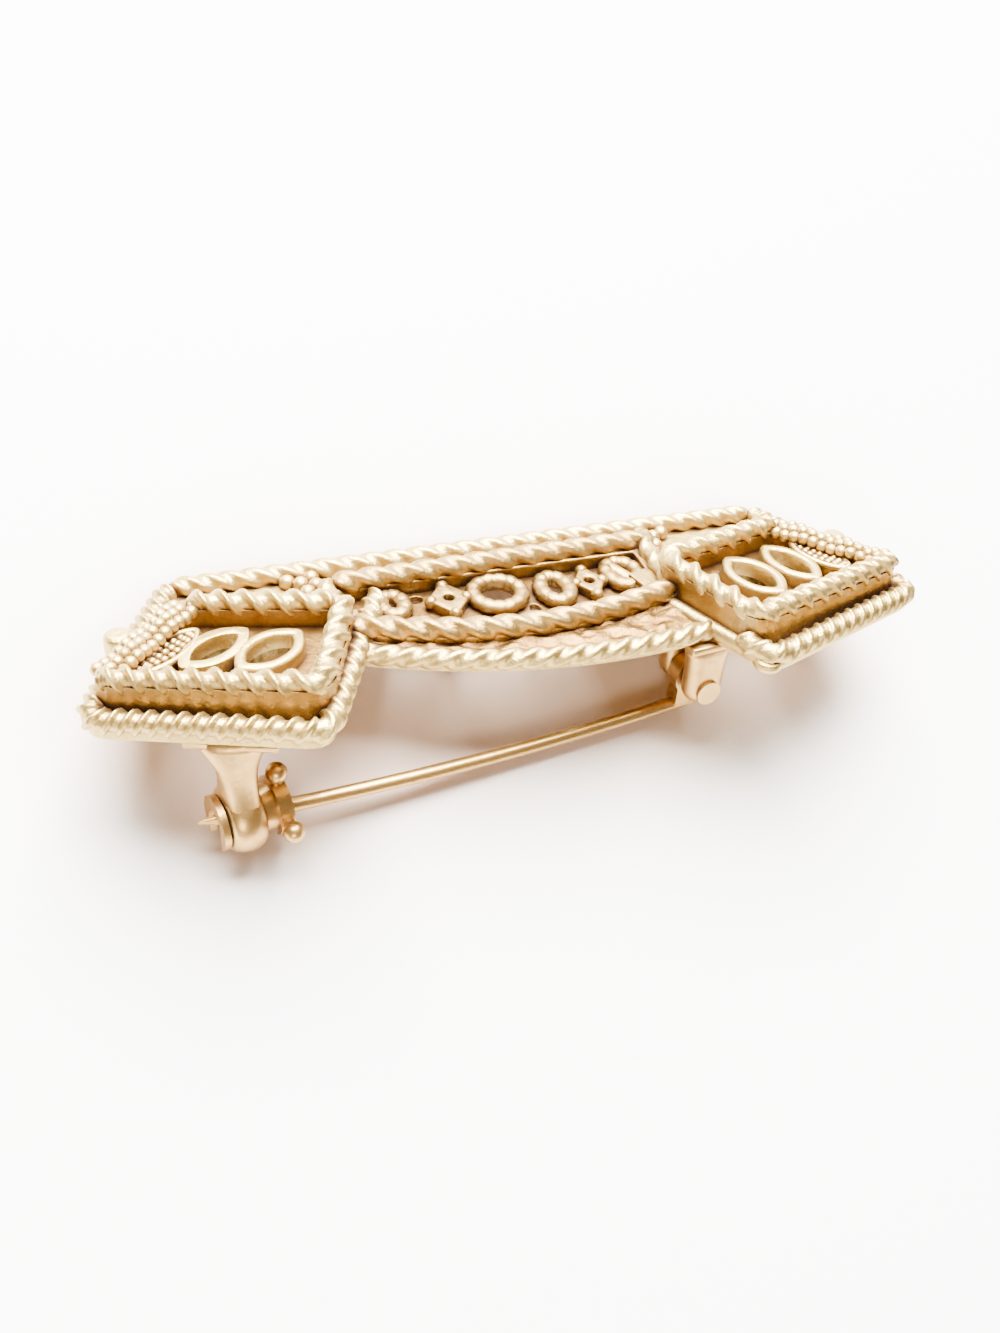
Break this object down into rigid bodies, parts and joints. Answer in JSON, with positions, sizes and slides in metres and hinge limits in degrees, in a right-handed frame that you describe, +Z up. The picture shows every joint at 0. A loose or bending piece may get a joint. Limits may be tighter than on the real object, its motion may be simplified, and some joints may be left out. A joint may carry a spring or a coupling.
{
  "type": "openwork bar brooch",
  "caption": "Gold-plated openwork bar brooch with twisted rope borders, two raised end panels, a swinging pin and a turning safety catch",
  "frame": {"origin": "under the middle of the brooch's bounding box, on the table that it lies on", "axes": "+X along the bar from the catch to the hinge, +Y away from the viewer, +Z up; the brooch lies on its catch and its back edge, face up and tilted back"},
  "size_m": [0.0412, 0.014, 0.0086],
  "materials": {
    "casting": "satin",
    "findings": "polished"
  },
  "bodies": {
    "brooch": {"openwork_face": "casting", "catch_post": "findings", "hinge_block": "findings", "hinge_rivet": "findings"},
    "pin": {"pin_stem": "findings"},
    "safety": {"catch_sleeve": "findings"}
  },
  "joints": [
    {"name": "pin_swing", "type": "hinge", "parent": "brooch", "child": "pin", "pos_m": [0.0087, -0.00218, 0.00237], "axis": [0.0917, -0.8212, 0.5632], "range_deg": [0, 80]},
    {"name": "catch_turn", "type": "hinge", "parent": "brooch", "child": "safety", "pos_m": [-0.0141, -0.00513, 0.00178], "axis": [-0.9781, -0.1715, 0.1176], "range_deg": [0, 95]}
  ]
}
